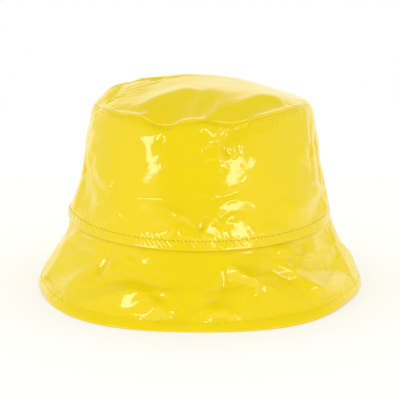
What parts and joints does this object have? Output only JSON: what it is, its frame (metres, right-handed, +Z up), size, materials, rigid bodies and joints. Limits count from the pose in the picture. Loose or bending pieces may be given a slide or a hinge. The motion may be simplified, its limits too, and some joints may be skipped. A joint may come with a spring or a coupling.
{
  "type": "rain bucket hat",
  "caption": "Soft rain bucket hat in glossy coated cloth, with a domed top, a tapering crown and a flared brim that it rests on.",
  "frame": {"origin": "on the surface that the brim rests on, under the middle of the hat", "axes": "+Z up, the front of the hat towards -Y, and the wearer's left to +X"},
  "size_m": [0.2336, 0.2428, 0.1457],
  "materials": {
    "coated_cloth": "glossy coating on soft cloth",
    "cloth_back": "matt uncoated back of the same cloth",
    "thread": "satin sewing thread"
  },
  "bodies": {
    "root": {"crown_top": "coated_cloth", "crown_side": "coated_cloth", "brim": "coated_cloth"}
  },
  "joints": []
}
